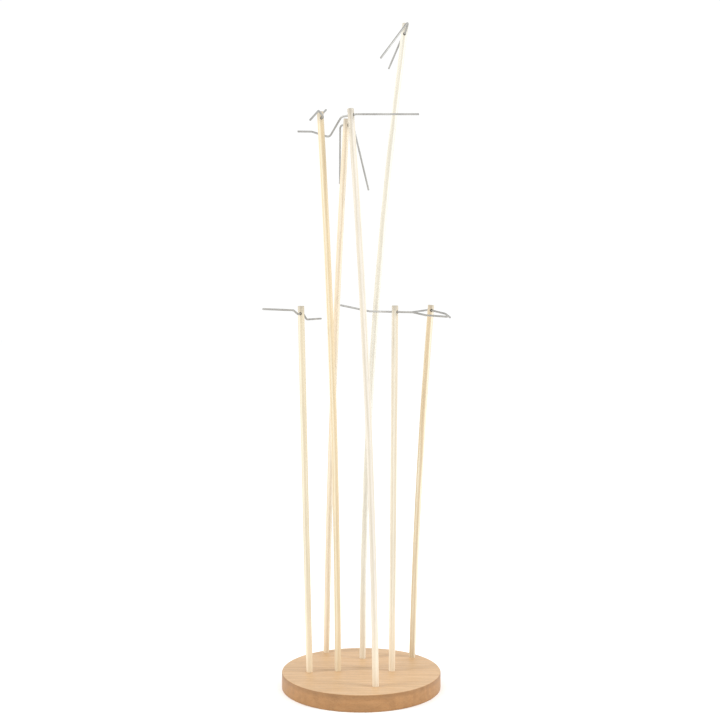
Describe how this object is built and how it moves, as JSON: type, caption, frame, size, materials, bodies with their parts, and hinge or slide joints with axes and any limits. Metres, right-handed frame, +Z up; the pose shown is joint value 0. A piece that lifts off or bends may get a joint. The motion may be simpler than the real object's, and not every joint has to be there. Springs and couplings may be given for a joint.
{
  "type": "display tree",
  "caption": "Round wooden base with upright thin dowels of three heights, each holding a bent wire that turns in a cross hole near its top.",
  "frame": {"origin": "centre of the underside of the base, on the table", "axes": "+Z up along the dowels, -Y towards the front of the object, +X to its right"},
  "size_m": [0.1704, 0.1759, 0.6244],
  "materials": {
    "base_wood": "satin",
    "dowel_wood_a": "matte",
    "dowel_wood_b": "matte",
    "dowel_wood_c": "matte",
    "dowel_wood_d": "matte",
    "dowel_wood_e": "matte",
    "dowel_wood_f": "matte",
    "dowel_wood_g": "matte",
    "wire_steel": "satin"
  },
  "bodies": {
    "stand": {"base": "base_wood", "dowel_a": "dowel_wood_a", "dowel_b": "dowel_wood_b", "dowel_c": "dowel_wood_c", "dowel_d": "dowel_wood_d", "dowel_e": "dowel_wood_e", "dowel_f": "dowel_wood_f", "dowel_g": "dowel_wood_g"},
    "wire_a": {"wire_a": "wire_steel"},
    "wire_b": {"wire_b": "wire_steel"},
    "wire_c": {"wire_c": "wire_steel"},
    "wire_d": {"wire_d": "wire_steel"},
    "wire_e": {"wire_e": "wire_steel"},
    "wire_f": {"wire_f": "wire_steel"},
    "wire_g": {"wire_g": "wire_steel"}
  },
  "joints": [
    {"name": "wire_a_turn", "type": "hinge", "parent": "stand", "child": "wire_a", "pos_m": [-0.05551, -0.00904, 0.35391], "axis": [-0.2078, -0.9781, -0.0155], "continuous": true},
    {"name": "wire_b_turn", "type": "hinge", "parent": "stand", "child": "wire_b", "pos_m": [-0.03703, -0.01763, 0.53141], "axis": [0.3755, -0.9262, -0.034], "range_deg": [-40, 90]},
    {"name": "wire_c_turn", "type": "hinge", "parent": "stand", "child": "wire_c", "pos_m": [-0.01439, 0.05244, 0.53251], "axis": [0.7413, -0.6684, -0.0608], "range_deg": [-70, 90]},
    {"name": "wire_d_turn", "type": "hinge", "parent": "stand", "child": "wire_d", "pos_m": [-0.00932, -0.02201, 0.53364], "axis": [0.8791, -0.4649, 0.1053], "range_deg": [-40, 35]},
    {"name": "wire_e_turn", "type": "hinge", "parent": "stand", "child": "wire_e", "pos_m": [0.04017, 0.02744, 0.61417], "axis": [0.1011, -0.9935, -0.0528], "continuous": true},
    {"name": "wire_f_turn", "type": "hinge", "parent": "stand", "child": "wire_f", "pos_m": [0.03144, 0.00436, 0.35494], "axis": [0.7661, -0.6427, 0.0055], "continuous": true},
    {"name": "wire_g_turn", "type": "hinge", "parent": "stand", "child": "wire_g", "pos_m": [0.06637, 0.03656, 0.3555], "axis": [0.2739, -0.9606, -0.0472], "continuous": true}
  ]
}
